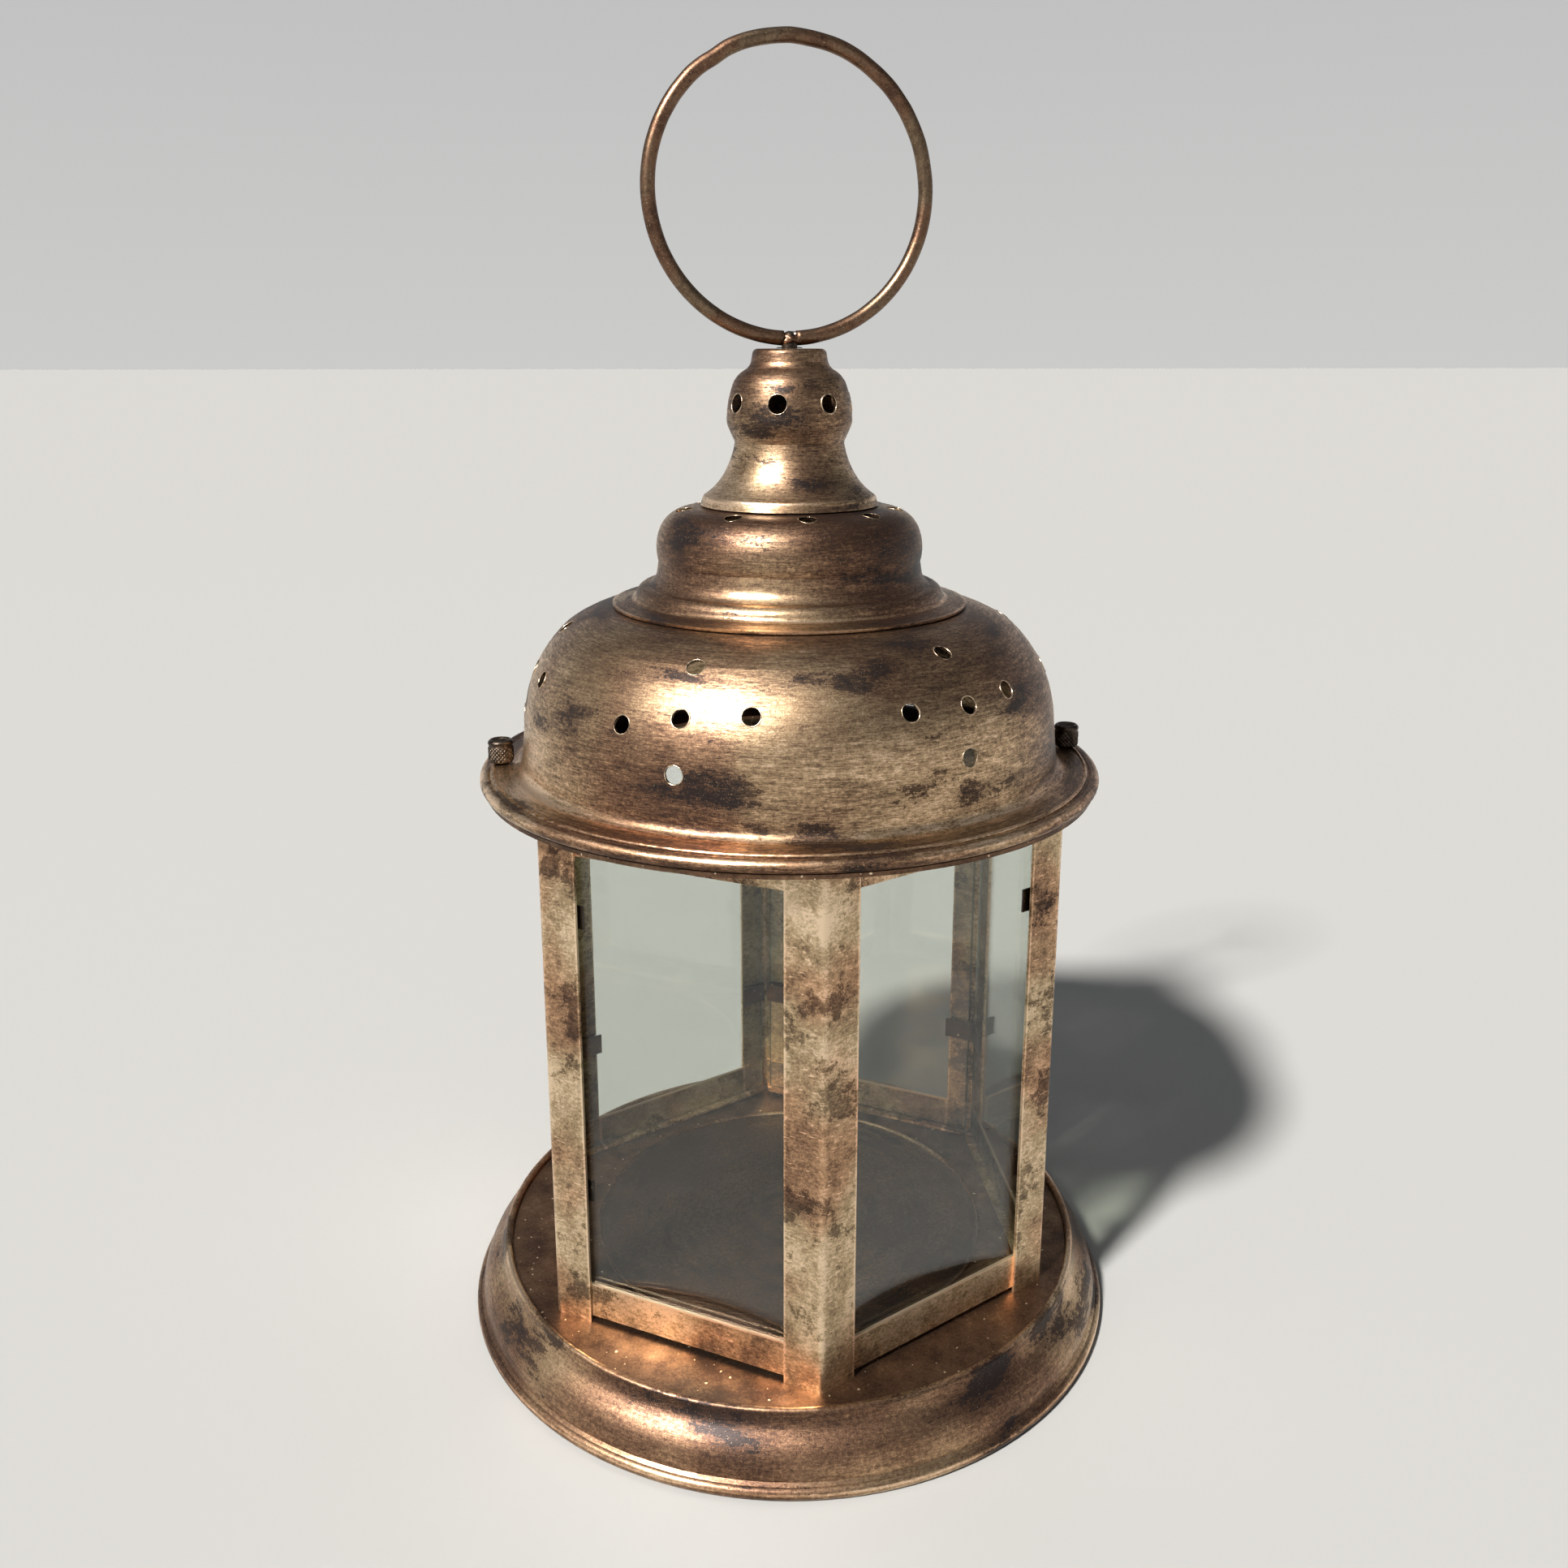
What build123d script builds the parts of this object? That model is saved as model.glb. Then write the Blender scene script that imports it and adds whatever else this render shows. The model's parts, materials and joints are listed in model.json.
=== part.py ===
from build123d import *
import os
from math import atan2, cos, degrees, hypot, radians, sin, tan

# Hanging candle lantern: a spun round base, a six-sided glazed body and a spun roof that is held
# down by two thumbscrews and carries a wire ring.
# Millimetres, +Z up. The origin is the centre of the base on the surface that it stands on, and a
# corner post of the six-sided body points along -Y.

# ---- driving dimensions ----
sheet = 0.9  # brass sheet of the frame
spun_sheet = 0.8  # brass sheet of the spun parts
glass = 2.0  # window glass

base_radius = 105.0  # widest point of the foot bead
rim_radius = 95.2  # outside of the raised rim
rim_top = 21.8
deck_top = 20.0  # top of the plate that the posts stand on
deck_radius = 92.6

hex_radius = 87.3  # centre to the outer fold line of a corner post
flange = 11.7  # width of each side of a corner post
fold_radius = 2.0
frame_top = 177.0  # top of the posts

rail_gap = 1.6  # daylight between the deck and the bottom rails
bottom_rail_height = 11.0
top_rail_height = 7.8
ledge_width = 5.5

brim_radius = 95.0
brim_bead = 1.9  # radius of the wired edge of the roof
brim_middle = 180.4  # height of the wired edge
flange_top = 183.0  # height of the flat brim next to the dome

vent_radius = 2.6
vent_turn = 2.5  # the roof sits turned by this much on the body
thread_radius = 2.0  # M4 screws and stud
running = 0.08  # clearance around a turning or sliding shank

screw_circle = 88.8  # distance of each thumbscrew from the axis
ring_radius = 40.8  # to the middle of the wire
wire_radius = 2.15
ring_turn = 7.5  # the hanging ring is turned by this much
ring_middle = 349.4
cap_top = 305.9

# ---- worked-out dimensions ----
sides = 6
face_out = hex_radius * cos(radians(30))  # outer face of a post's sides
rail_out = face_out - sheet  # the rails lie behind the posts
pane_out = rail_out - sheet  # the glass lies behind the rails
pane_in = pane_out - glass
rail_bottom = deck_top + rail_gap
pane_bottom = rail_bottom + sheet
pane_top = frame_top - sheet - 0.6
pane_half = 39.8
ring_bottom = ring_middle - ring_radius

os.makedirs("parts", exist_ok=True)


def save(part, label):
    """Name a finished piece and write it out."""
    part.label = label
    export_step(part, f"parts/{label}.step")


# ---- sections of spun sheet ----
def left_normal(start, end):
    """Unit vector to the left of the way from start to end."""
    length = hypot(end[0] - start[0], end[1] - start[1])
    return (-(end[1] - start[1]) / length, (end[0] - start[0]) / length)


def arc_centre(start, middle, end):
    """Centre of the arc through three points, and 1 if it turns left or -1 if it turns right."""
    ax, ay = middle[0] - start[0], middle[1] - start[1]
    bx, by = end[0] - start[0], end[1] - start[1]
    turn = ax * by - ay * bx
    cx = start[0] + (by * (ax * ax + ay * ay) - ay * (bx * bx + by * by)) / (2 * turn)
    cy = start[1] + (ax * (bx * bx + by * by) - bx * (ax * ax + ay * ay)) / (2 * turn)
    return cx, cy, 1 if turn > 0 else -1


def span_normals(start, span):
    """Left-hand normals of a span at its start, its middle point if it is an arc, and its end."""
    if len(span) == 1:
        normal = left_normal(start, span[0])
        return [normal, normal]
    middle, end = span
    cx, cy, side = arc_centre(start, middle, end)
    normals = []
    for x, y in (start, middle, end):
        radius = hypot(x - cx, y - cy)
        normals.append((side * (cx - x) / radius, side * (cy - y) / radius))
    return normals


def moved(point, before, after, distance):
    """The point moved to the left by the distance, on the mitre of the two normals."""
    share = distance / (1 + before[0] * after[0] + before[1] * after[1])
    return (point[0] + share * (before[0] + after[0]), point[1] + share * (before[1] + after[1]))


def draw_span(start, span):
    if len(span) == 1:
        Line(start, span[0])
    else:
        ThreePointArc(start, *span)


def spun(start, spans, thickness=spun_sheet):
    """A shell of revolution. Its outside runs from start along the spans, each a line to a point
    or an arc through a point to another, with the sheet's thickness on the left."""
    points = [start] + [span[-1] for span in spans]
    normals = [span_normals(points[i], span) for i, span in enumerate(spans)]
    inner = []
    for i, point in enumerate(points):
        before = normals[max(i - 1, 0)]
        after = normals[min(i, len(spans) - 1)]
        first = after[0] if i == 0 else before[-1]
        last = before[-1] if i == len(spans) else after[0]
        inner.append(moved(point, first, last, thickness))
    with BuildPart() as shell:
        with BuildSketch(Plane.XZ):
            with BuildLine():
                for i, span in enumerate(spans):
                    draw_span(points[i], span)
                Line(points[-1], inner[-1])
                for i in reversed(range(len(spans))):
                    if len(spans[i]) == 1:
                        Line(inner[i + 1], inner[i])
                    else:
                        middle = moved(spans[i][0], normals[i][1], normals[i][1], thickness)
                        ThreePointArc(inner[i + 1], middle, inner[i])
                Line(inner[0], points[0])
            make_face()
        revolve(axis=Axis.Z)
    return shell.part


def square_to(azimuth, radius, height, tilt):
    """Where a hole goes that is square to the sheet: azimuth from -Y towards +X, tilt upwards."""
    angle = radians(azimuth)
    rise = radians(tilt)
    origin = (radius * sin(angle), -radius * cos(angle), height)
    outward = (cos(rise) * sin(angle), -cos(rise) * cos(angle), sin(rise))
    return Plane(origin=origin, z_dir=outward).location


# ---- base ----
# Foot bead, groove, ovolo, cove and a rolled rim, then a ledge that carries the deck.
base_shell = spun(
    (97.9, 0),
    [
        [(102.8, 0)],
        [(base_radius, 2.1), (103.4, 4.0)],
        [(102.6, 4.9)],
        [(101.4, 10.6), (97.7, 15.4)],
        [(95.9, 17.7), (rim_radius, 20.6)],
        [(rim_radius - 1.2, rim_top), (rim_radius - 2.4, 20.6)],
        [(rim_radius - 2.4, deck_top - 1.0)],
        [(84.0, deck_top - 1.0)],
    ],
)
with BuildPart() as base_ring:
    add(base_shell)
save(base_ring.part, "base_ring")

with BuildPart() as base_deck:
    with BuildSketch(Plane.XY.offset(deck_top - 1.0)):
        Circle(deck_radius)
    extrude(amount=1.0)
save(base_deck.part, "base_deck")

# Loose round tray for the candle, with a low turned-up edge.
candle_edge = 64.0
with BuildPart() as candle_plate:
    with BuildSketch(Plane.XZ):
        with BuildLine():
            Polyline((0, deck_top), (candle_edge - 1.4, deck_top))
            ThreePointArc(
                (candle_edge - 1.4, deck_top),
                (candle_edge - 0.4, deck_top + 0.5),
                (candle_edge, deck_top + 1.5),
            )
            Line((candle_edge, deck_top + 1.5), (candle_edge - 0.8, deck_top + 1.5))
            ThreePointArc(
                (candle_edge - 0.8, deck_top + 1.5),
                (candle_edge - 1.1, deck_top + 1.0),
                (candle_edge - 1.8, deck_top + 0.8),
            )
            Line((candle_edge - 1.8, deck_top + 0.8), (0, deck_top + 0.8))
            Line((0, deck_top + 0.8), (0, deck_top))
        make_face()
    revolve(axis=Axis.Z)
save(candle_plate.part, "candle_plate")

# ---- corner posts: sheet folded to the hexagon's corner ----
side_step = (flange * cos(radians(30)), flange * sin(radians(30)))
for number in range(sides):
    corner = Plane.XY.offset(deck_top).rotated((0, 0, number * 60))
    with BuildPart() as corner_post:
        with BuildSketch(corner):
            with BuildLine():
                FilletPolyline(
                    (-side_step[0], side_step[1] - hex_radius),
                    (0, -hex_radius),
                    (side_step[0], side_step[1] - hex_radius),
                    radius=fold_radius,
                )
                offset(amount=sheet, side=Side.LEFT)
            make_face()
        extrude(amount=frame_top - deck_top)
    save(corner_post.part, f"corner_post_{number + 1}")


# ---- rails between the posts: an upright strip and a level ledge with mitred ends ----
def mitred_strip(outer, inner):
    """Plan outline of a strip along one side of the hexagon, which faces -Y."""
    relief = 0.9
    outer_half = outer * tan(radians(30)) - relief
    inner_half = inner * tan(radians(30)) - relief
    Polygon(
        (-outer_half, -outer),
        (outer_half, -outer),
        (inner_half, -inner),
        (-inner_half, -inner),
        align=None,
    )


for number in range(sides):
    turn = (0, 0, 30 + number * 60)
    upright = Plane.XY.offset(rail_bottom).rotated(turn)
    with BuildPart() as bottom_rail:
        with BuildSketch(upright):
            mitred_strip(rail_out, pane_out)
        extrude(amount=bottom_rail_height)
        with BuildSketch(upright):
            mitred_strip(rail_out, rail_out - ledge_width)
        extrude(amount=sheet)
    save(bottom_rail.part, f"bottom_rail_{number + 1}")

    upright = Plane.XY.offset(frame_top - top_rail_height).rotated(turn)
    level = Plane.XY.offset(frame_top - sheet).rotated(turn)
    with BuildPart() as top_rail:
        with BuildSketch(upright):
            mitred_strip(rail_out, pane_out)
        extrude(amount=top_rail_height)
        with BuildSketch(level):
            mitred_strip(rail_out, rail_out - ledge_width)
        extrude(amount=sheet)
    save(top_rail.part, f"top_rail_{number + 1}")

# ---- glass, standing on the ledges ----
for number in range(sides):
    turn = (0, 0, 30 + number * 60)
    with BuildPart() as glass_pane:
        with BuildSketch(Plane.XY.offset(pane_bottom).rotated(turn)):
            with Locations((0, -(pane_out + pane_in) / 2)):
                Rectangle(2 * pane_half, glass)
        extrude(amount=pane_top - pane_bottom)
        chamfer(glass_pane.edges().filter_by(Axis.Z), length=0.25)
    save(glass_pane.part, f"glass_pane_{number + 1}")

# ---- spring clips, spot-welded inside the posts and hooked round the edges of the glass ----
clip_sheet = 0.5
clip_height = 7.0
clip_levels = (59.5, 146.5)  # underside of the lower and the upper clip
clip_web = pane_half + 0.25
clip_toe = 31.2  # the leg on the glass reaches to here
clip_heel = 33.0  # the leg on the post reaches to here
for number in range(sides):
    turn = (0, 0, 30 + number * 60)
    with BuildPart() as glass_clips:
        for level in clip_levels:
            with BuildSketch(Plane.XY.offset(level).rotated(turn)):
                for side in (-1, 1):
                    edge = clip_web + clip_sheet
                    Polygon(
                        (side * clip_heel, -rail_out),
                        (side * edge, -rail_out),
                        (side * edge, -pane_in + clip_sheet),
                        (side * clip_toe, -pane_in + clip_sheet),
                        (side * clip_toe, -pane_in),
                        (side * clip_web, -pane_in),
                        (side * clip_web, -rail_out + clip_sheet),
                        (side * clip_heel, -rail_out + clip_sheet),
                        align=None,
                    )
            extrude(amount=clip_height)
    save(glass_clips.part, f"glass_clips_{number + 1}")

# ---- ring plate on top of the posts, with the nuts for the thumbscrews under it ----
plate_thickness = 1.2
plate_radius = 93.4
mouth_radius = 67.0  # a hand and a candle go through here when the roof is off
screw_places = [(-screw_circle, 0), (screw_circle, 0)]
with BuildPart() as frame_top_ring:
    with BuildSketch(Plane.XY.offset(frame_top)):
        Circle(plate_radius)
        Circle(mouth_radius, mode=Mode.SUBTRACT)
        with Locations(*screw_places):
            Circle(thread_radius + running, mode=Mode.SUBTRACT)
    extrude(amount=plate_thickness)
save(frame_top_ring.part, "frame_top_ring")

nut_height = 3.2
nut_corner = 3.5 / cos(radians(30))
with BuildPart() as screw_nuts:
    with BuildSketch(Plane.XY.offset(frame_top - nut_height)):
        with Locations(*screw_places):
            RegularPolygon(nut_corner, sides)
            Circle(thread_radius + running, mode=Mode.SUBTRACT)
    extrude(amount=nut_height)
save(screw_nuts.part, "screw_nuts")

# ---- roof ----
# Dome: brim, fillet, slightly tapered wall and a rounded shoulder up to the chimney opening.
wall_foot = (82.0, flange_top + 3.2)
wall = [(80.75, 200.0)]
shoulder = [(77.2, 212.8), (68.1, 225.0)]
crown = [(59.4, 229.6), (49.5, 231.5)]
dome_shell = spun(
    (92.4, flange_top - 1.3),
    [
        [(90.4, flange_top - 0.45)],
        [(85.2, flange_top)],
        [(82.95, flange_top + 0.95), wall_foot],
        wall,
        shoulder,
        crown,
        [(36.0, 232.2)],
    ],
)


def dome_at(height):
    """Outer radius of the dome at a height, and how far its outside faces upwards there."""
    if height <= wall[0][1]:
        run, rise = wall_foot[0] - wall[0][0], wall[0][1] - wall_foot[1]
        return wall_foot[0] - run * (height - wall_foot[1]) / rise, degrees(atan2(run, rise))
    start, arc = (wall[0], shoulder) if height <= shoulder[1][1] else (shoulder[1], crown)
    cx, cy, _ = arc_centre(start, *arc)
    reach = hypot(start[0] - cx, start[1] - cy)
    radius = cx + (reach**2 - (height - cy) ** 2) ** 0.5
    return radius, degrees(atan2(height - cy, radius - cx))


# Six groups of five vents, set out as a cross above each window and punched by hand, so that two
# of them are a little uneven. Each vent is (degrees aside from the group's middle, height).
even_cross = [(0, 213.4), (-13.5, 213.4), (13.5, 213.4), (0, 225.4), (0, 199.5)]
crosses = [even_cross] * sides
crosses[0] = [(0, 213.7), (-14.2, 214.1), (13.1, 215.0), (0.1, 226.3), (-2.1, 200.5)]
crosses[5] = [(0, 212.9), (-12.9, 209.6), (14.1, 214.5), (0.3, 224.9), (-0.3, 198.7)]
bead_circle = brim_radius - brim_bead
ridge_circle = 90.9
with BuildPart() as roof_dome:
    add(dome_shell)
    # wired edge with a fine raised line beside it
    with BuildSketch(Plane.XZ):
        with Locations((bead_circle, brim_middle)):
            Circle(brim_bead)
        with Locations((ridge_circle, flange_top - 0.75)):
            Circle(0.65)
    revolve(axis=Axis.Z)
    with Locations(*[(x, y, flange_top) for x, y in screw_places]):
        Cylinder(thread_radius + running, 8, mode=Mode.SUBTRACT)
    for number, cross in enumerate(crosses):
        for aside, height in cross:
            radius, tilt = dome_at(height)
            azimuth = 30 + number * 60 + vent_turn + aside
            with Locations(square_to(azimuth, radius, height, tilt)):
                Cylinder(vent_radius, 6, mode=Mode.SUBTRACT)
save(roof_dome.part, "roof_dome")

# Collar: thin flange on the dome, step, ogee, waist and rolled shoulder with a ring of vents.
collar_shell = spun(
    (53.5, 232.25),
    [
        [(47.6, 233.4)],
        [(46.8, 233.9), (46.3, 234.8)],
        [(45.3, 236.6), (42.4, 237.5)],
        [(40.8, 239.0), (39.9, 241.4)],
        [(39.45, 244.3)],
        [(39.95, 249.3), (38.7, 254.4)],
        [(35.5, 258.2), (30.3, 260.0)],
        [(20.0, 261.2)],
    ],
)
collar_vents = [-86, -36, 3, 41, 79, 117, 155, 194, 233]  # azimuths, spaced by eye
with BuildPart() as roof_collar:
    add(collar_shell)
    for azimuth in collar_vents:
        with Locations(square_to(azimuth, 31.6, 259.7, 66)):
            Cylinder(vent_radius, 5, mode=Mode.SUBTRACT)
save(roof_collar.part, "roof_collar")

# Neck: upright band on the collar, then a bell that narrows to the cap.
neck_top = 279.2
neck_radius = 16.2
neck_shell = spun(
    (26.6, 260.9),
    [
        [(26.0, 262.8)],
        [(25.7, 263.5), (25.1, 263.95)],
        [(21.4, 267.3), (18.5, 271.9)],
        [(17.1, 275.4), (neck_radius, neck_top)],
    ],
)
with BuildPart() as roof_neck:
    add(neck_shell)
save(roof_neck.part, "roof_neck")

# Cap: closed barrel with a low round boss on top for the hanger.
cap_shell = spun(
    (neck_radius, neck_top),
    [
        [(18.0, 283.3)],
        [(18.5, 284.9), (18.5, 286.7)],
        [(17.75, 292.2), (16.45, 296.4)],
        [(15.05, 298.4), (13.1, 299.9)],
        [(11.95, 300.9), (11.3, 302.2)],
        [(10.9, cap_top - 1.5)],
        [(10.45, cap_top - 0.5), (9.3, cap_top)],
        [(thread_radius + running, cap_top)],
    ],
)
cap_vent_radius = 2.8
cap_vents = [-64, -17, 33, 88, 117, 161, 211]  # azimuths, spaced by eye
with BuildPart() as roof_cap:
    add(cap_shell)
    for azimuth in cap_vents:
        with Locations(square_to(azimuth, 18.0, 290.6, 13)):
            Cylinder(cap_vent_radius, 6, mode=Mode.SUBTRACT)
save(roof_cap.part, "roof_cap")

# ---- hanger: an open wire ring brazed to a stud that turns in the cap ----
ring_axis = Axis((0, 0, ring_middle), (-sin(radians(ring_turn)), cos(radians(ring_turn)), 0))
stud_radius = 2.3
ring_gap = 2 * degrees(atan2(stud_radius + 0.15, ring_radius))
across = Vector(cos(radians(ring_turn)), sin(radians(ring_turn)), 0)
down = Vector(0, 0, -1)
first_end = across * sin(radians(ring_gap / 2)) + down * cos(radians(ring_gap / 2))
wire_start = Plane(
    origin=Vector(0, 0, ring_middle) + first_end * ring_radius,
    x_dir=first_end,
    z_dir=first_end.cross(ring_axis.direction),
)
with BuildPart() as hanger_ring:
    with BuildSketch(wire_start):
        Circle(wire_radius)
    revolve(axis=ring_axis, revolution_arc=-(360 - ring_gap))
save(hanger_ring.part, "hanger_ring")

stud_foot = cap_top + 0.15
cap_inside = cap_top - spun_sheet
washer_thickness = 0.8
washer_bottom = cap_inside - 0.15 - washer_thickness
hanger_nut_height = 3.2
shank_end = washer_bottom - hanger_nut_height - 1.2
with BuildPart() as hanger_stud:
    with BuildSketch(Plane.XZ):
        with BuildLine():
            Polyline(
                (0, shank_end),
                (thread_radius - 0.3, shank_end),
                (thread_radius, shank_end + 0.3),
                (thread_radius, stud_foot),
                (3.9, stud_foot),
                (3.6, stud_foot + 0.25),
                (stud_radius, stud_foot + 0.35),
                (stud_radius, ring_bottom),
            )
            RadiusArc((stud_radius, ring_bottom), (0, ring_bottom + stud_radius), -stud_radius)
            Line((0, ring_bottom + stud_radius), (0, shank_end))
        make_face()
    revolve(axis=Axis.Z)
save(hanger_stud.part, "hanger_stud")

with BuildPart() as hanger_washer:
    with BuildSketch(Plane.XY.offset(washer_bottom)):
        Circle(5.5)
        Circle(thread_radius + 0.02, mode=Mode.SUBTRACT)
    extrude(amount=washer_thickness)
save(hanger_washer.part, "hanger_washer")

with BuildPart() as hanger_nut:
    with BuildSketch(Plane.XY.offset(washer_bottom - hanger_nut_height)):
        RegularPolygon(nut_corner, sides)
        Circle(thread_radius + 0.02, mode=Mode.SUBTRACT)
    extrude(amount=hanger_nut_height)
save(hanger_nut.part, "hanger_nut")

# ---- thumbscrews: tall round head with a dished top, plain shank through brim, plate and nut ----
head_bottom = flange_top + 0.3
head_height = 7.0
head_radius = 3.9
screw_end = frame_top - nut_height - 1.4
for label, (place, _) in zip(("thumbscrew_left", "thumbscrew_right"), screw_places):
    with BuildPart() as thumbscrew:
        with BuildSketch(Plane(origin=(place, 0, 0), x_dir=(1, 0, 0), z_dir=(0, -1, 0))):
            with BuildLine():
                Polyline(
                    (0, screw_end),
                    (thread_radius - 0.4, screw_end),
                    (thread_radius, screw_end + 0.4),
                    (thread_radius, head_bottom),
                    (head_radius - 0.5, head_bottom),
                    (head_radius, head_bottom + 0.5),
                    (head_radius, head_bottom + head_height - 0.4),
                    (head_radius - 0.4, head_bottom + head_height),
                    (head_radius - 1.1, head_bottom + head_height),
                    (head_radius - 1.4, head_bottom + head_height - 0.6),
                    (0, head_bottom + head_height - 0.6),
                    close=True,
                )
            make_face()
        revolve(axis=Axis((place, 0, 0), (0, 0, 1)))
    save(thumbscrew.part, label)
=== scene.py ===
import json
import math
import random

import bmesh
import bpy
from mathutils import Matrix, Vector, noise


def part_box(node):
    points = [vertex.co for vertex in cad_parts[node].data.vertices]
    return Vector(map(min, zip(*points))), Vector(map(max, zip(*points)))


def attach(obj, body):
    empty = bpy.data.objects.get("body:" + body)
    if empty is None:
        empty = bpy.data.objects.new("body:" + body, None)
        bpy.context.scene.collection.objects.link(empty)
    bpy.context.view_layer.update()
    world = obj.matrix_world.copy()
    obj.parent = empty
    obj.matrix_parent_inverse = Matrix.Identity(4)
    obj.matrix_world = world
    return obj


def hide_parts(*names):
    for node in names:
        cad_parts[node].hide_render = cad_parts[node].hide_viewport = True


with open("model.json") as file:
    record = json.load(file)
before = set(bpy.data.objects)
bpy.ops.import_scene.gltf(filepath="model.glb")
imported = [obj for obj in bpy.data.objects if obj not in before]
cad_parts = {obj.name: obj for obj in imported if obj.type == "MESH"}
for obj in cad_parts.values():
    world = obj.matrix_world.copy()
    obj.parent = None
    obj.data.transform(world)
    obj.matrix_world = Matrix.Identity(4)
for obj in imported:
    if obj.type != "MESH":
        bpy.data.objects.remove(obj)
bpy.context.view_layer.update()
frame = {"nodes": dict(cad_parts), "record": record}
nodes = frame["nodes"]
MM = 0.001
random.seed(7)

# ---------------------------------------------------------------------------
# Sizes of the lantern that its finishes and small pieces are placed by
# ---------------------------------------------------------------------------
WINDOWS = 6
HALF_WINDOW = 43.65 * MM  # from the middle of a window to the fold of a corner post
FLANGE = 11.7 * MM  # width of each side of a corner post
WELD_INSET = 5.6 * MM  # from the fold to the spot welds that hold the clips
WELD_HEIGHTS = (58.5, 64.5, 147.0, 154.5)  # millimetres up
GLASS_HALF = 39.8 * MM
RAIL_TOP = 32.5 * MM  # upper edge of the bottom rails


# ---------------------------------------------------------------------------
# Shader maths
# ---------------------------------------------------------------------------
class Flow:
    """A value, vector or colour on its way through a finish. Arithmetic on it adds Math nodes."""

    def __init__(self, finish, socket):
        self.finish = finish
        self.socket = socket

    def _math(self, operation, first, second=0.0):
        return self.finish.node("ShaderNodeMath", {"operation": operation}, {0: first, 1: second})

    def __add__(self, other):
        return self._math("ADD", self, other)

    def __radd__(self, other):
        return self._math("ADD", other, self)

    def __sub__(self, other):
        return self._math("SUBTRACT", self, other)

    def __rsub__(self, other):
        return self._math("SUBTRACT", other, self)

    def __mul__(self, other):
        return self._math("MULTIPLY", self, other)

    def __pow__(self, other):
        return self._math("POWER", self, other)

    def __mod__(self, other):
        return self._math("FLOORED_MODULO", self, other)

    def __abs__(self):
        return self._math("ABSOLUTE", self)

    def at_least(self, other):
        return self._math("MAXIMUM", self, other)

    def sine(self):
        return self._math("SINE", self)

    def angle_from(self, other):
        """The angle whose tangent is this over the other."""
        return self._math("ARCTAN2", self, other)

    def ramp(self, low, high, start=0.0, end=1.0):
        """A smooth step from start, where this is at low, to end, where it is at high."""
        return self.finish.node(
            "ShaderNodeMapRange",
            {"interpolation_type": "SMOOTHSTEP"},
            {"Value": self, "From Min": low, "From Max": high, "To Min": start, "To Max": end},
        )


class Finish:
    """A procedural material, or the light all round, built node by node."""

    def __init__(self, name, world=False):
        library = bpy.data.worlds if world else bpy.data.materials
        self.material = library.new(name)
        self.material.use_nodes = True
        self.tree = self.material.node_tree
        self.tree.nodes.clear()
        kind = "ShaderNodeOutputWorld" if world else "ShaderNodeOutputMaterial"
        self.output = self.tree.nodes.new(kind)

    def node(self, kind, settings=None, sockets=None, output=0):
        """One node: its settings are made first, then its sockets get values or links."""
        made = self.tree.nodes.new(kind)
        for name, value in (settings or {}).items():
            if name == "stops":
                self._stops(made.color_ramp, value)
            else:
                setattr(made, name, value)
        for name, value in (sockets or {}).items():
            self.feed(made.inputs[name], value)
        return Flow(self, made.outputs[output])

    def _stops(self, ramp, stops):
        while len(ramp.elements) > 1:
            ramp.elements.remove(ramp.elements[-1])
        ramp.elements[0].position = stops[0][0]
        ramp.elements[0].color = (*stops[0][1], 1.0)
        for place, colour in stops[1:]:
            ramp.elements.new(place).color = (*colour, 1.0)

    def feed(self, socket, value):
        if isinstance(value, Flow):
            self.tree.links.new(value.socket, socket)
        else:
            socket.default_value = value

    def place(self):
        """Where a point is on the object, in metres."""
        return self.node("ShaderNodeTexCoord", output="Object")

    def parts(self, vector):
        """The X, Y and Z of a vector."""
        return [
            self.node("ShaderNodeSeparateXYZ", {}, {"Vector": vector}, output=axis)
            for axis in ("X", "Y", "Z")
        ]

    def vector(self, x, y, z):
        return self.node("ShaderNodeCombineXYZ", {}, {"X": x, "Y": y, "Z": z})

    def noise(self, vector, scale=1.0, detail=3.0, roughness=0.55, w=None):
        sockets = {"Vector": vector, "Scale": scale, "Detail": detail, "Roughness": roughness}
        if w is not None:
            sockets["W"] = w
        kind = {"noise_dimensions": "3D" if w is None else "4D"}
        return self.node("ShaderNodeTexNoise", kind, sockets)

    def colours(self, factor, stops):
        return self.node("ShaderNodeValToRGB", {"stops": stops}, {"Fac": factor})

    def blend(self, factor, first, second, kind="MIX"):
        """Two colours mixed, by the factor."""
        made = self.tree.nodes.new("ShaderNodeMix")
        made.data_type = "RGBA"
        made.blend_type = kind
        self.feed(made.inputs[0], factor)
        for socket, colour in ((made.inputs[6], first), (made.inputs[7], second)):
            self.feed(socket, colour if isinstance(colour, Flow) else (*colour, 1.0))
        return Flow(self, made.outputs[2])

    def bump(self, height, distance, strength=1.0):
        return self.node(
            "ShaderNodeBump", {}, {"Height": height, "Distance": distance, "Strength": strength}
        )

    def surface(self, shader):
        self.tree.links.new(shader.socket, self.output.inputs["Surface"])

    def principled(self, **sockets):
        """The Principled shader with its sockets by name, _ for a space."""
        named = {name.replace("_", " "): value for name, value in sockets.items()}
        shader = self.node("ShaderNodeBsdfPrincipled", {}, named)
        self.surface(shader)
        return shader


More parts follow.
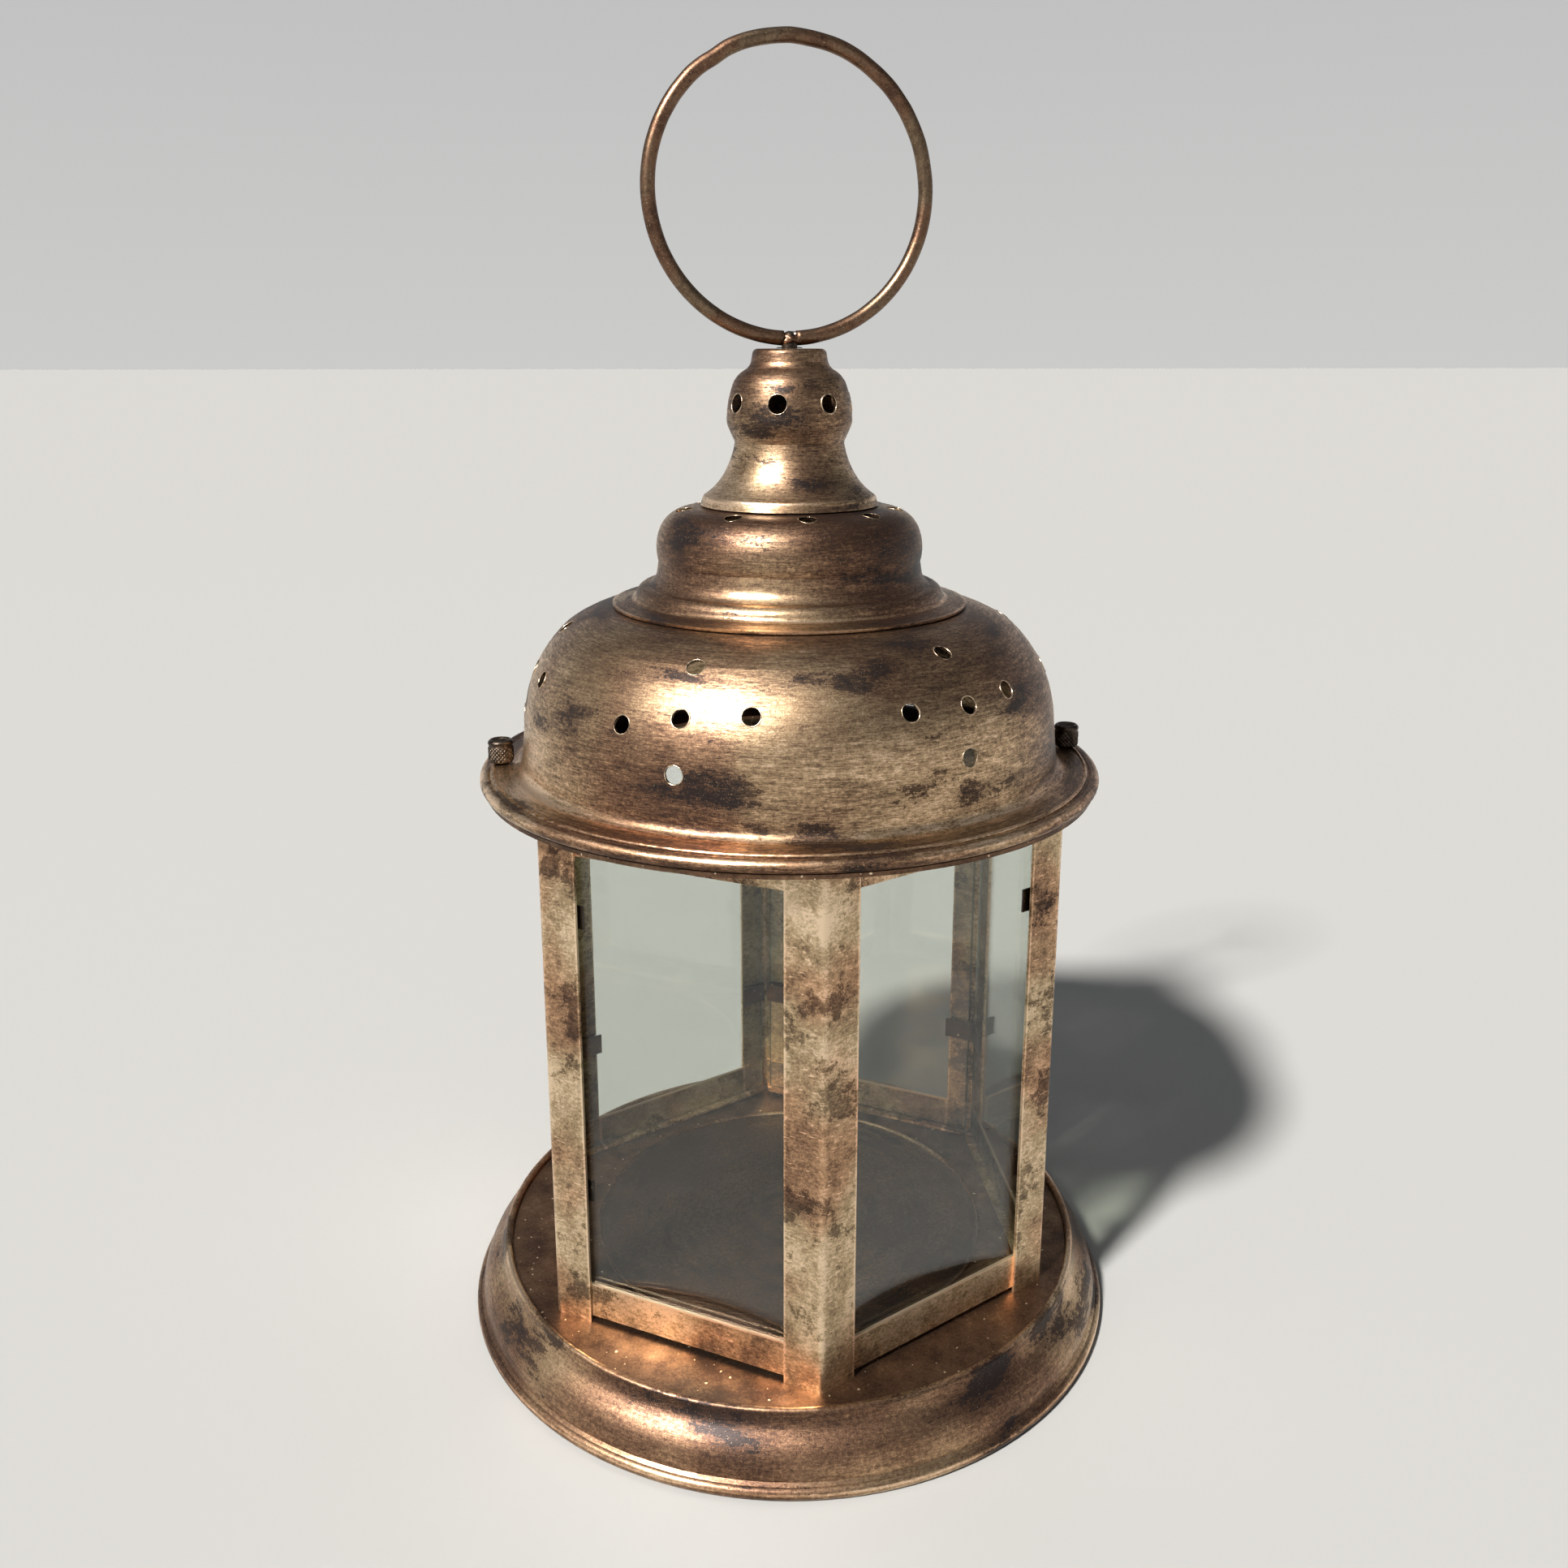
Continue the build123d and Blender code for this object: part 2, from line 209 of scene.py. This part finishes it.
# ---------------------------------------------------------------------------
# Antiqued brass: a dark oxide that is rubbed back to bronze, ochre and copper
# ---------------------------------------------------------------------------
OXIDE = (0.014, 0.011, 0.010)
UMBER = (0.066, 0.048, 0.034)
BRONZE = (0.185, 0.138, 0.088)
OCHRE = (0.440, 0.345, 0.205)
RUBBED = (0.800, 0.660, 0.460)
PATINA = [(0.0, OXIDE), (0.25, UMBER), (0.50, BRONZE), (0.75, OCHRE), (1.0, RUBBED)]
COPPER_TINT = (1.16, 0.88, 0.84)
# Bright metal specks, painted in as glints
GLINT_SPECK_COLOUR = (0.85, 0.66, 0.46)
DULL_SCREW = (0.105, 0.080, 0.062)
PUNCHED_EDGE = (0.78, 0.60, 0.42)
BRAZE = (0.88, 0.70, 0.58)
DUSTY_GLASS = (0.77, 0.80, 0.76)
CLEAN_GLASS = (0.82, 0.85, 0.81)
GREEN_EDGE = (0.22, 0.46, 0.42)
GLASS_SHADOW = (0.82, 0.84, 0.80, 1.0)  # what is left of lamp light behind a pane


def antiqued(f, tone, grain, strokes, copper, painted_glints, roughness=0.45, relief=0.05):
    """The whole surface from its tone: 0 is untouched oxide and 1 is rubbed metal."""
    colour = f.blend(copper, f.colours(tone, PATINA), COPPER_TINT, "MULTIPLY")
    # Bright specks painted in as glints, over the patina
    colour = f.blend(painted_glints, colour, GLINT_SPECK_COLOUR)
    f.principled(
        Base_Color=colour,
        Metallic=tone.ramp(0.02, 0.30, 0.70, 1.0),
        Roughness=roughness - tone.ramp(0.2, 0.9) * 0.14 + (grain - 0.5) * 0.30,
        Normal=f.bump(strokes * 0.6 + grain, relief * MM, 0.7),
    )
    return f.material


def spun_brass(name, seed, worn_and_highlight_rings=(), lift=0.0, brushing=1.0):
    """Spun sheet with brush lines round the axis. Its rings are edges rubbed bare and also painted
    highlight lines, each a radius, a height and a reach in millimetres. brushing is how deep the
    brush lines are."""
    f = Finish(name)
    x, y, z = f.parts(f.place())
    radius = (x * x + y * y) ** 0.5
    level = z + seed

    def round_noise(along, across, detail=3.0, roughness=0.6):
        """Noise drawn out along the turn: along and across are how fine it is, per metre."""
        vector = f.vector(x * along, y * along, level * across)
        return f.noise(vector, 1.0, detail, roughness, w=radius * across)

    around = f.vector(x, y, level)
    clouds = f.noise(around, 17.0, 2.0, 0.5)
    patches = round_noise(30, 75, 4.0)
    strokes = round_noise(130, 1100, 4.0, 0.7)
    hairlines = round_noise(500, 3600, 2.0, 0.6)
    grain = f.noise(around, 2400.0, 3.0, 0.75)
    flecks = f.noise(around, 900.0, 2.0, 0.6)
    # Bright specks painted in as glints
    painted_glints = f.noise(around, 4200.0, 1.0, 0.5).ramp(0.70, 0.80)

    intact = (patches + (strokes - 0.5) * 0.34 + (flecks - 0.5) * 0.25).ramp(0.575, 0.625)
    tone = (
        0.48
        + lift
        + (clouds - 0.5) * 1.75
        + (patches - 0.5) * -0.50
        + (strokes - 0.5) * (1.10 * brushing)
        + (hairlines - 0.5) * (0.90 * brushing)
        + (flecks - 0.5) * 0.55
        + (grain - 0.5) * 0.60
        - intact * 0.46
    )
    # Rims and beads rubbed bare, brightened further as painted highlight lines
    for ring, height, reach in worn_and_highlight_rings:
        away = ((radius - ring * MM) ** 2 + (z - height * MM) ** 2) ** 0.5
        tone = tone + away.ramp(reach * MM, 0.25 * reach * MM) * (strokes * 0.5 + 0.05)
    copper = clouds.ramp(0.42, 0.60, 1.0, 0.45)
    lines = (strokes * 0.6 + hairlines * 0.5) * brushing
    return antiqued(f, tone, grain, lines, copper, painted_glints * 0.7)


def beside_window(x, y):
    """How far aside of the middle of the nearest window a point is."""
    radius = (x * x + y * y) ** 0.5
    window = math.tau / WINDOWS
    turn = x.angle_from(0.0 - y) % window - window / 2
    return abs(radius * turn.sine())


def folded_brass(name):
    """Folded strip of the posts and rails: mottled, gritty and worn along its folds and ends, with a
    painted highlight line along the top edge of the rails.
    """
    f = Finish(name)
    place = f.place()
    x, y, z = f.parts(place)
    aside = beside_window(x, y)
    clouds = f.noise(place, 26.0, 2.0, 0.5)
    mottle = f.noise(place, 95.0, 6.0, 0.72)
    blots = f.noise(place, 48.0, 7.0, 0.70)
    brushed = f.noise(f.vector(x, y, z * 3.2), 420.0, 4.0, 0.7)
    grit = f.noise(place, 1300.0, 3.0, 0.75)
    nicks = f.noise(f.vector(x, y, z * 5.0), 300.0, 1.0, 0.5).ramp(0.68, 0.74)
    # Bright specks painted in as glints
    painted_glints = f.noise(place, 3800.0, 1.0, 0.5).ramp(0.70, 0.80)

    fold = aside.ramp(HALF_WINDOW - 2.0 * MM, HALF_WINDOW - 0.3 * MM)
    free_edge = abs(aside - (HALF_WINDOW - FLANGE)).ramp(0.9 * MM, 0.2 * MM)
    # Painted highlight: a bright line along the top edge of the bottom rails
    rail_top_highlight = abs(z - RAIL_TOP).ramp(0.6 * MM, 0.2 * MM)
    rail_top_highlight = rail_top_highlight * aside.ramp(HALF_WINDOW - FLANGE + 1.0 * MM, HALF_WINDOW - FLANGE)
    intact = (blots + (grit - 0.5) * 0.30).ramp(0.54, 0.60)
    weld = None
    for height in WELD_HEIGHTS:
        away = ((aside - (HALF_WINDOW - WELD_INSET)) ** 2 + (z - height * MM) ** 2) ** 0.5
        dimple = away.ramp(1.3 * MM, 0.5 * MM)
        weld = dimple if weld is None else weld.at_least(dimple)
    tone = (
        0.74
        + (clouds - 0.5) * 1.0
        + (mottle - 0.5) * 1.1
        + (brushed - 0.5) * 0.6
        + (grit - 0.5) * 0.8
        + fold * 0.12
        + free_edge * (grit * 0.5)
        + rail_top_highlight * 0.5
        + nicks * 0.30
        - intact * 0.42
        - weld * 0.15
    )
    height = grit * 0.9 + mottle * 0.8 + brushed * 0.3 - weld * 6.0 - nicks * 0.4
    copper = clouds.ramp(0.40, 0.58, 0.9, 0.2)
    return antiqued(f, tone, grit, height, copper, painted_glints * 0.8, 0.54, 0.06)


def flat_brass(name, lift=0.0):
    """Duller flat sheet of the deck and the candle tray, with bright specks painted in as glints."""
    f = Finish(name)
    place = f.place()
    clouds = f.noise(place, 24.0, 3.0, 0.55)
    mottle = f.noise(place, 110.0, 5.0, 0.65)
    grit = f.noise(place, 1200.0, 3.0, 0.72)
    # Bright specks painted in as glints
    painted_speck_glints = f.noise(place, 700.0, 0.0, 0.5).ramp(0.80, 0.82)
    tone = 0.40 + lift + (clouds - 0.5) * 0.6 + (mottle - 0.5) * 0.8 + (grit - 0.5) * 0.5
    return antiqued(f, tone, grit, mottle, clouds.ramp(0.3, 0.5, 0.4, 0.9), painted_speck_glints, 0.48, 0.04)


def wire_brass(name):
    """Drawn wire of the hanging ring, blotched almost black, with rubbed bare stretches."""
    f = Finish(name)
    place = f.place()
    clouds = f.noise(place, 60.0, 3.0, 0.6)
    mottle = f.noise(place, 300.0, 5.0, 0.7)
    grit = f.noise(place, 1800.0, 3.0, 0.7)
    # Bright specks painted in as glints
    painted_glints = f.noise(place, 3500.0, 1.0, 0.5).ramp(0.70, 0.80)
    intact = (mottle * 0.6 + clouds * 0.4).ramp(0.50, 0.60)
    tone = 0.44 + (clouds - 0.5) * 0.9 + (mottle - 0.5) * 0.7 + (grit - 0.5) * 0.4 - intact * 0.25
    return antiqued(f, tone, grit, mottle, clouds.ramp(0.45, 0.6, 1.0, 0.3), painted_glints, 0.40, 0.05)


def bare_edge(name, colour, roughness):
    """Bare metal of a worn edge or a brazed joint, with a little dirt in it."""
    f = Finish(name)
    place = f.place()
    dirt = f.noise(place, 520.0, 4.0, 0.7)
    grit = f.noise(place, 2600.0, 2.0, 0.6)
    shade = tuple(0.22 * part for part in colour)
    f.principled(
        Base_Color=f.blend(dirt.ramp(0.42, 0.62), colour, shade),
        Metallic=1.0,
        Roughness=roughness + (grit - 0.5) * 0.2,
        Normal=f.bump(dirt + grit * 0.4, 0.06 * MM, 0.6),
    )
    return f.material


def window_glass(name):
    """Window glass: a faint film of dust, green at its cut edges. Lamps shine through it."""
    f = Finish(name)
    x, y, z = f.parts(f.place())
    aside = beside_window(x, y)
    film = f.noise(f.vector(x, y, z * 2.0), 26.0, 4.0, 0.6)
    cut_edge = aside.ramp(GLASS_HALF - 0.5 * MM, GLASS_HALF - 0.1 * MM)
    clear = f.blend(film, DUSTY_GLASS, CLEAN_GLASS)
    pane = f.node(
        "ShaderNodeBsdfPrincipled",
        {},
        {
            "Base Color": f.blend(cut_edge, clear, GREEN_EDGE),
            "Roughness": 0.0,
            "IOR": 1.46,
            "Transmission Weight": 1.0,
        },
    )
    through = f.node("ShaderNodeBsdfTransparent", {}, {"Color": GLASS_SHADOW})
    lamp_ray = f.node("ShaderNodeLightPath", output="Is Shadow Ray")
    f.surface(f.node("ShaderNodeMixShader", {}, {0: lamp_ray, 1: pane, 2: through}))
    return f.material


# Edges rubbed bare and also painted highlight lines: radius, height and reach in millimetres
DOME_WORN_AND_HIGHLIGHT_EDGES = [(94.4, 181.6, 1.5), (90.9, 182.9, 1.0), (84.0, 183.3, 3.0)]
COLLAR_WORN_AND_HIGHLIGHT_EDGES = [(53.3, 232.3, 0.9), (47.2, 233.6, 1.0)]
BASE_WORN_AND_HIGHLIGHT_EDGES = [(94.3, 21.7, 1.2), (104.9, 2.6, 0.6)]
dome_finish = spun_brass("dome_brass", 0.0, DOME_WORN_AND_HIGHLIGHT_EDGES)
collar_finish = spun_brass("collar_brass", 0.40, COLLAR_WORN_AND_HIGHLIGHT_EDGES, -0.05, 0.8)
neck_finish = spun_brass("neck_brass", 0.80, [(25.9, 263.3, 1.2)], -0.02, 0.9)
base_finish = spun_brass("base_brass", 1.20, BASE_WORN_AND_HIGHLIGHT_EDGES, 0.06, 0.5)
tray_finish = spun_brass("tray_brass", 1.60, [(63.4, 21.4, 1.2)], -0.22, 0.3)
frame_finish = folded_brass("folded_brass")
deck_finish = flat_brass("deck_brass", -0.04)
dark_finish = flat_brass("blackened_brass", -0.18)
wire_finish = wire_brass("wire_brass")
screw_finish = bare_edge("screw_brass", DULL_SCREW, 0.40)
lip_finish = bare_edge("punched_edge", PUNCHED_EDGE, 0.32)
braze_finish = bare_edge("braze", BRAZE, 0.28)
glass_finish = window_glass("window_glass")

finishes = {
    "spun_brass": dome_finish,
    "frame_brass": frame_finish,
    "deck_brass": deck_finish,
    "wire_brass": wire_finish,
    "hardware_brass": screw_finish,
    "clip_brass": dark_finish,
    "glass": glass_finish,
}
own_finishes = {
    "base_ring": base_finish,
    "roof_collar": collar_finish,
    "roof_neck": neck_finish,
    "roof_cap": neck_finish,
    "candle_plate": tray_finish,
    "frame_top_ring": deck_finish,
}
slots = {row["node"]: row["material_slot"] for row in frame["record"]["subparts"]}
for name, piece in nodes.items():
    piece.data.materials.clear()
    piece.data.materials.append(own_finishes.get(name, finishes[slots[name]]))


# ---------------------------------------------------------------------------
# Small pieces
# ---------------------------------------------------------------------------
def new_piece(name, mesh, finish, body):
    """A finished piece that rides on a body."""
    mesh.materials.append(finish)
    piece = bpy.data.objects.new(name, mesh)
    bpy.context.scene.collection.objects.link(piece)
    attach(piece, body)
    return piece


def woven(name, rows, closed_rows=True, closed_ends=False):
    """A smooth mesh over rows of points, each row joined to the next."""
    bm = bmesh.new()
    grid = [[bm.verts.new(point) for point in row] for row in rows]
    count = len(grid[0])
    steps = count if closed_rows else count - 1
    pairs = list(zip(grid, grid[1:])) + ([(grid[-1], grid[0])] if closed_ends else [])
    for lower, upper in pairs:
        for i in range(steps):
            j = (i + 1) % count
            bm.faces.new((lower[i], lower[j], upper[j], upper[i]))
    if closed_rows and not closed_ends:
        bm.faces.new(list(reversed(grid[0])))
        bm.faces.new(grid[-1])
    bmesh.ops.recalc_face_normals(bm, faces=bm.faces)
    for face in bm.faces:
        face.smooth = True
    mesh = bpy.data.meshes.new(name)
    bm.to_mesh(mesh)
    bm.free()
    return mesh


def tube(name, path, radii, across, sides=12, closed=True):
    """A tube along a path that lies about square to the direction across, a radius at each point."""
    rows = []
    count = len(path)
    for i, point in enumerate(path):
        if closed:
            ahead = path[(i + 1) % count] - path[i - 1]
        else:
            ahead = path[min(i + 1, count - 1)] - path[max(i - 1, 0)]
        ahead.normalize()
        first = ahead.cross(across).normalized()
        second = ahead.cross(first)
        rows.append(
            [
                point
                + radii[i] * (math.cos(a) * first + math.sin(a) * second)
                for a in (math.tau * k / sides for k in range(sides))
            ]
        )
    return woven(name, rows, closed_ends=closed)


HEAD_HEIGHT = 7.0 * MM
SHANK_RADIUS = 2.0 * MM
KNURL_TEETH = 19
KNURL_FACETS = 152
KNURL_DEPTH = 0.42 * MM
KNURL_HEIGHT = 5.0 * MM
KNURL_START = 0.25 * MM  # chamfer under the knurl
KNURL_STEPS = 40
# Millimetres above the knurl, and in from the rim
HEAD_BAND = ((0.15, 0.40), (0.35, 0.40), (0.55, 0.12), (0.9, 0.05), (1.3, 0.12), (1.65, 0.35))
# Millimetres down from the top, and in from the rim
HEAD_DISH = ((0.04, 0.75), (0.12, 1.1), (0.45, 1.35), (0.75, 1.8), (0.85, 3.0), (0.85, 3.85))


def knurled_head(name, node, body):
    """Thumbscrew with a diamond-knurled head, a plain band and a dished top, on a shank of its own,
    made in place of the CAD thumbscrew, which is hidden.
    """
    low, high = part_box(node)
    centre = (low + high) / 2
    radius = (high.x - low.x) / 2
    head_bottom = high.z - HEAD_HEIGHT
    pitch = math.tau * radius / KNURL_TEETH

    def level(height, size, knurl=0.0):
        row = []
        for k in range(KNURL_FACETS):
            turn = math.tau * k / KNURL_FACETS
            along = turn * KNURL_TEETH / math.tau
            up = (height - head_bottom) / pitch
            ridges = [abs((along + side * up) % 1.0 - 0.5) * 2 for side in (-1, 1)]
            groove = max(ridges) ** 3
            reach = size - knurl * KNURL_DEPTH * groove
            x = centre.x + reach * math.cos(turn)
            y = centre.y + reach * math.sin(turn)
            row.append(Vector((x, y, height)))
        return row

    chamfer = 0.4 * MM
    rows = [
        level(low.z, 0.05 * MM),
        level(low.z, SHANK_RADIUS - chamfer),
        level(low.z + chamfer, SHANK_RADIUS),
        level(head_bottom, SHANK_RADIUS),
        level(head_bottom + 0.02 * MM, radius - 0.6 * MM),
    ]
    knurl_top = head_bottom + KNURL_HEIGHT
    for i in range(KNURL_STEPS + 1):
        share = i / KNURL_STEPS
        fade = min(1.0, 8 * share, 8 * (1 - share))
        height = head_bottom + KNURL_START + share * (knurl_top - head_bottom - KNURL_START)
        rows.append(level(height, radius - (1 - fade) * KNURL_START, fade))
    for up, inset in HEAD_BAND:
        rows.append(level(knurl_top + up * MM, radius - inset * MM))
    for down, inset in HEAD_DISH:
        rows.append(level(high.z - down * MM, radius - inset * MM))
    head = new_piece(name, woven(name, rows), screw_finish, body)
    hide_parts(node)


knurled_head("knurled_screw_left", "thumbscrew_left", "left_screw")
knurled_head("knurled_screw_right", "thumbscrew_right", "right_screw")


def vent_rims(node, smallest=12 * MM, largest=24 * MM):
    """The outer rim of every hole punched in a node, as loops of points."""
    bm = bmesh.new()
    bm.from_mesh(nodes[node].data)
    bmesh.ops.remove_doubles(bm, verts=bm.verts, dist=0.002 * MM)
    sharp = [e for e in bm.edges if e.is_manifold and e.calc_face_angle(0.0) > math.radians(50)]
    at_vert = {}
    for edge in sharp:
        for vert in edge.verts:
            at_vert.setdefault(vert, []).append(edge)
    loops = []
    unused = set(sharp)
    for edge in sharp:
        if edge not in unused:
            continue
        unused.discard(edge)
        chain = [edge.verts[0], edge.verts[1]]
        while chain[-1] is not chain[0]:
            onward = [e for e in at_vert[chain[-1]] if e in unused]
            if not onward:
                break
            unused.discard(onward[0])
            chain.append(onward[0].other_vert(chain[-1]))
        points = [vert.co.copy() for vert in chain[:-1]]
        length = sum((a - b).length for a, b in zip(points, points[1:] + points[:1]))
        if chain[-1] is chain[0] and smallest < length < largest:
            loops.append(points)
    bm.free()
    rims = []
    for points in loops:
        middle = sum(points, Vector()) / len(points)
        twin = [
            other
            for other in loops
            if other is not points
            and (sum(other, Vector()) / len(other) - middle).length < 2.0 * MM
        ]
        if all(middle.length >= (sum(o, Vector()) / len(o)).length for o in twin):
            rims.append(points)
    return rims


def punched_lips(name, node, body, fine=1.0):
    """Fine raised edge round each punched hole, thicker on one side where the punch leaned."""
    joined = bmesh.new()
    for points in vent_rims(node):
        middle = sum(points, Vector()) / len(points)
        lean = random.uniform(0, math.tau)
        path, radii = [], []
        for i, point in enumerate(points[:: max(1, len(points) // 40)]):
            rough = noise.noise(point * 900)
            path.append(middle + (point - middle) * (1.01 + 0.02 * rough))
            share = 0.5 + 0.5 * math.cos(math.tau * i / 40 - lean)
            radii.append((0.10 + 0.12 * share + 0.04 * rough) * fine * MM)
        across = (path[0] - middle).cross(path[len(path) // 4] - middle).normalized()
        lip = tube(name, path, radii, across, sides=8)
        joined.from_mesh(lip)
        bpy.data.meshes.remove(lip)
    mesh = bpy.data.meshes.new(name)
    joined.to_mesh(mesh)
    joined.free()
    for face in mesh.polygons:
        face.use_smooth = True
    new_piece(name, mesh, lip_finish, body)


punched_lips("dome_vent_edges", "roof_dome", "roof")
punched_lips("collar_vent_edges", "roof_collar", "roof", 0.5)
punched_lips("cap_vent_edges", "roof_cap", "roof")


def lump(name, centre, size, seed, finish, body):
    """A blob of braze: a rounded lump, pulled about by noise."""
    bm = bmesh.new()
    bmesh.ops.create_icosphere(bm, subdivisions=4, radius=1.0)
    for vert in bm.verts:
        pull = 1 + 0.22 * noise.noise(vert.co * 1.7 + Vector((seed, 0, 0)))
        pull += 0.05 * noise.noise(vert.co * 6 + Vector((0, seed, 0)))
        vert.co = centre + Vector(part * pull * s for part, s in zip(vert.co, size))
    for face in bm.faces:
        face.smooth = True
    mesh = bpy.data.meshes.new(name)
    bm.to_mesh(mesh)
    bm.free()
    new_piece(name, mesh, finish, body)


KINK = 2.58  # where the ring has a slight kink, in radians round from the stud
KINK_WIDTH = 0.08  # radians
ring_low, ring_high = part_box("hanger_ring")
ring_middle = (ring_low + ring_high) / 2
wire = 2.15 * MM
ring_outer = (ring_high.z - ring_low.z) / 2
ring_circle = ring_outer - wire
ring_turn = math.radians(7.5)
ring_across = Vector((math.cos(ring_turn), math.sin(ring_turn), 0))
stud_top = Vector((0, 0, ring_low.z + wire))

def hanging_ring():
    """The wire ring: bent by hand, so not quite round, with its two ends at the stud."""
    gap = math.asin(2.0 * MM / ring_circle)
    steps = 220
    path, radii = [], []
    for i in range(steps + 1):
        turn = gap + (math.tau - 2 * gap) * i / steps
        wobble = 0.3 * noise.noise(Vector((3 * math.cos(turn), 3 * math.sin(turn), 4.0)))
        kink = 0.35 * math.exp(-(((turn - KINK) / KINK_WIDTH) ** 2))
        circle = ring_circle - (0.15 + abs(wobble) * math.sin(turn / 2) ** 2 + kink) * MM
        drop = Vector((0, 0, -circle * math.cos(turn)))
        path.append(ring_middle + ring_across * (-circle * math.sin(turn)) + drop)
        radii.append(wire * (0.985 + 0.02 * noise.noise(Vector((9 * turn, 0, 0)))))
    facing = ring_across.cross(Vector((0, 0, 1)))
    mesh = tube("hanging_wire", path, radii, facing, sides=24, closed=False)
    ring = new_piece("hanging_wire", mesh, wire_finish, "hanger")
    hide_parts("hanger_ring")


hanging_ring()


def braze(name, aside, up, size, seed, finish):
    """A lump on the stud, placed by how far along the ring and how far up it is."""
    spot = stud_top + ring_across * aside * MM + Vector((0, 0, up * MM))
    lump(name, spot, Vector(size) * MM, seed, finish, "hanger")


braze("braze_fillet", 0.0, -0.30, (3.5, 2.6, 1.9), 1.0, wire_finish)
braze("braze_left", -2.2, 0.2, (0.9, 1.9, 1.4), 3.7, braze_finish)
braze("braze_top", 1.3, 1.3, (1.7, 1.5, 0.8), 7.4, braze_finish)
braze("braze_middle", -0.9, 1.2, (0.9, 1.5, 0.7), 11.1, wire_finish)
braze("braze_bead", 2.9, -0.9, (0.45, 1.9, 0.5), 14.8, braze_finish)


# ---------------------------------------------------------------------------
# Floor and backdrop, light and camera
# ---------------------------------------------------------------------------
PALE_FLOOR = (0.32, 0.318, 0.31)
# Light from all round, by how far up it comes from: 0 is level and 1 is overhead
SKY = [
    (0.0, (0.60, 0.60, 0.59)),
    (0.26, (0.52, 0.52, 0.52)),
    (0.45, (0.12, 0.124, 0.128)),
    (1.0, (0.22, 0.235, 0.25)),
]


FLOOR_REACH = 30.0  # metres each way


def studio_floor():
    """Wide, plain, matt pale floor."""
    f = Finish("pale_floor")
    matt = {"Base Color": (*PALE_FLOOR, 1.0), "Roughness": 1.0, "Specular IOR Level": 0.0}
    f.surface(f.node("ShaderNodeBsdfPrincipled", {}, matt))
    ends = (-FLOOR_REACH, FLOOR_REACH)
    rows = [[Vector((x, y, 0.0)) for x in ends] for y in ends]
    mesh = woven("studio_floor", rows, closed_rows=False)
    mesh.materials.append(f.material)
    floor = bpy.data.objects.new("studio_floor", mesh)
    bpy.context.scene.collection.objects.link(floor)


def studio_light():
    """Soft light all round: pale near the horizon, dimmer above it and a little paler overhead."""
    f = Finish("studio", world=True)
    up = f.node("ShaderNodeTexCoord", output="Generated")
    height = f.node("ShaderNodeSeparateXYZ", {}, {"Vector": up}, output="Z")
    f.surface(f.node("ShaderNodeBackground", {}, {"Color": f.colours(height, SKY)}))
    bpy.context.scene.world = f.material


def toward(azimuth, elevation):
    """Unit vector at an azimuth from -Y towards +X, and an elevation, in degrees."""
    a, e = math.radians(azimuth), math.radians(elevation)
    return Vector((math.sin(a) * math.cos(e), -math.cos(a) * math.cos(e), math.sin(e)))


CAMERA_AZIMUTH = -5.9  # degrees from -Y towards +X
CAMERA_PLACE = (-0.0016, -0.42285, 0.30437)  # metres, before it goes round to its azimuth
CAMERA_DIP = 14.288  # degrees below level
LAMP_AIM = Vector((0, 0, 0.18))  # a point at the foot of the roof
KEY_AZIMUTH = CAMERA_AZIMUTH - 39.8
KEY_ELEVATION = 45.2
KEY_SPREAD = 6.0  # degrees across, so that its shadows are soft
KEY_COLOUR = (1.0, 0.975, 0.94)
OVERHEAD_AZIMUTH = CAMERA_AZIMUTH - 60
OVERHEAD_ELEVATION = 70
OVERHEAD_SIDE = 1.2  # metres
OVERHEAD_COLOUR = (0.95, 0.97, 1.0)


def lamp(name, kind, direction, distance, power, colour, size):
    """A lamp in a direction from the point that it is aimed at."""
    light = bpy.data.lights.new(name, kind)
    light.energy = power
    light.color = colour
    if kind == "SUN":
        light.angle = math.radians(size)
    else:
        light.size = size
    holder = bpy.data.objects.new(name, light)
    holder.location = LAMP_AIM + direction * distance
    holder.rotation_euler = direction.to_track_quat("Z", "Y").to_euler()
    bpy.context.scene.collection.objects.link(holder)


studio_floor()
studio_light()
key_from = toward(KEY_AZIMUTH, KEY_ELEVATION)
lamp("key", "SUN", key_from, 3.0, 9.0, KEY_COLOUR, KEY_SPREAD)
overhead_from = toward(OVERHEAD_AZIMUTH, OVERHEAD_ELEVATION)
lamp("overhead", "AREA", overhead_from, 2.2, 3.0, OVERHEAD_COLOUR, OVERHEAD_SIDE)
bpy.context.scene.view_settings.view_transform = "Standard"

lens = bpy.data.cameras.new("camera")
lens.lens = 32.22
lens.shift_y = -0.0463
lens.clip_start = 0.05
camera = bpy.data.objects.new("camera", lens)
camera.matrix_world = (
    Matrix.Rotation(math.radians(CAMERA_AZIMUTH), 4, "Z")
    @ Matrix.Translation(CAMERA_PLACE)
    @ Matrix.Rotation(math.radians(90 - CAMERA_DIP), 4, "X")
)
bpy.context.scene.collection.objects.link(camera)
bpy.context.scene.camera = camera
